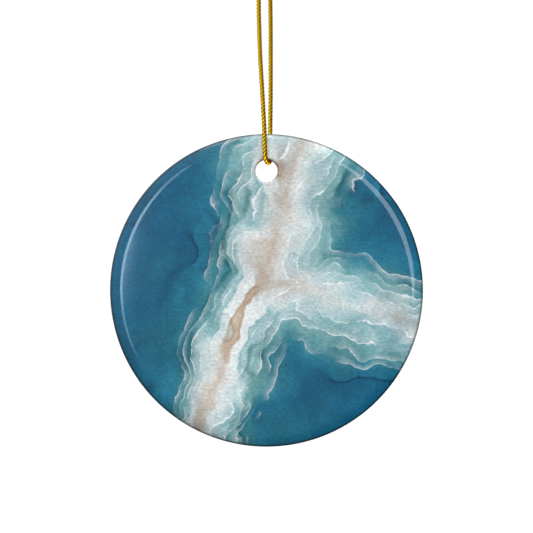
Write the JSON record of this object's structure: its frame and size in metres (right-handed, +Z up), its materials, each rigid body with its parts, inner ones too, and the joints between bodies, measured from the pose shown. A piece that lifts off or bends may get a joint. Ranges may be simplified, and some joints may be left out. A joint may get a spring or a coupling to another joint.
{
  "type": "hanging disc ornament",
  "caption": "Round glazed ceramic ornament with a printed front and a rolled edge, hung by a loop of twisted gold cord that is threaded through a hole and knotted at the top.",
  "frame": {"origin": "inner top of the cord loop, where its two strands meet under the knot and a hook bears", "axes": "+Z up, +X to the right as seen from the front, and the printed front faces -Y"},
  "size_m": [0.07, 0.0056, 0.1284],
  "materials": {
    "white_glaze": "white gloss glaze",
    "printed_glaze": "printed coat under gloss",
    "gold_cord": "twisted metallic thread"
  },
  "bodies": {
    "loop_top": {"cord_knot": "gold_cord", "cord_tails": "gold_cord"},
    "cord": {"hanging_cord": "gold_cord"},
    "disc": {"ceramic_disc": "white_glaze", "print_coat": "printed_glaze"}
  },
  "joints": [
    {"name": "cord_twist", "type": "hinge", "parent": "loop_top", "child": "cord", "pos_m": [0, 0, 0], "axis": [0, 0, 1], "range_deg": [-180, 180]},
    {"name": "disc_swing", "type": "hinge", "parent": "cord", "child": "disc", "pos_m": [0, 0, -0.05328], "axis": [0, 1, 0], "range_deg": [-100, 100]}
  ]
}
